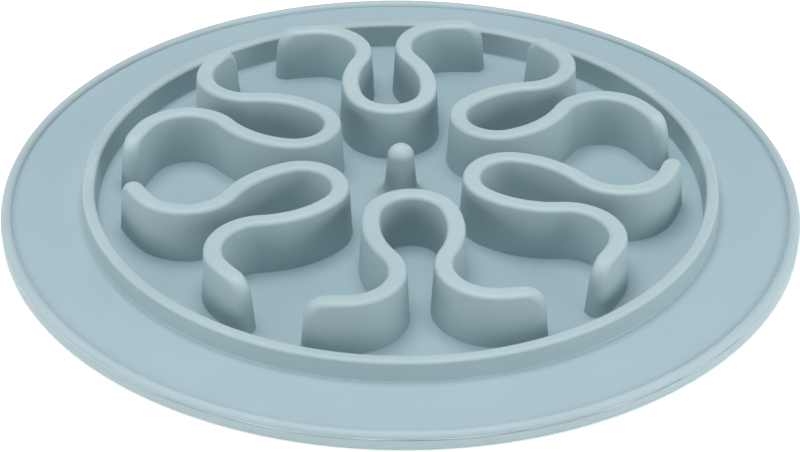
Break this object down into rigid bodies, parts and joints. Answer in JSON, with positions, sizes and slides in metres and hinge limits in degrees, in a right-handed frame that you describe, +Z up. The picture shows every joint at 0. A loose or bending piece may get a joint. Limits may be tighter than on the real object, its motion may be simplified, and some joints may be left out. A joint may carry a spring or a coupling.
{
  "type": "slow feeder mat",
  "caption": "Round one-piece silicone slow feeder mat: keyhole shaped maze walls and a centre peg stand in a pan inside a ring wall, with a flat flange and a beaded edge.",
  "frame": {"origin": "centre of the flat underside", "axes": "+Z up along the mat's axis, -Y through the crown of the front maze wall"},
  "size_m": [0.2404, 0.2404, 0.0202],
  "materials": {
    "silicone": "satin, pale grey-blue moulded silicone"
  },
  "bodies": {
    "root": {"pan_floor": "silicone", "flange": "silicone", "edge_bead": "silicone", "ring_wall": "silicone", "omega_wall_front": "silicone", "omega_wall_front_right": "silicone", "omega_wall_back_right": "silicone", "omega_wall_back": "silicone", "omega_wall_back_left": "silicone", "omega_wall_front_left": "silicone", "centre_peg": "silicone"}
  },
  "joints": []
}
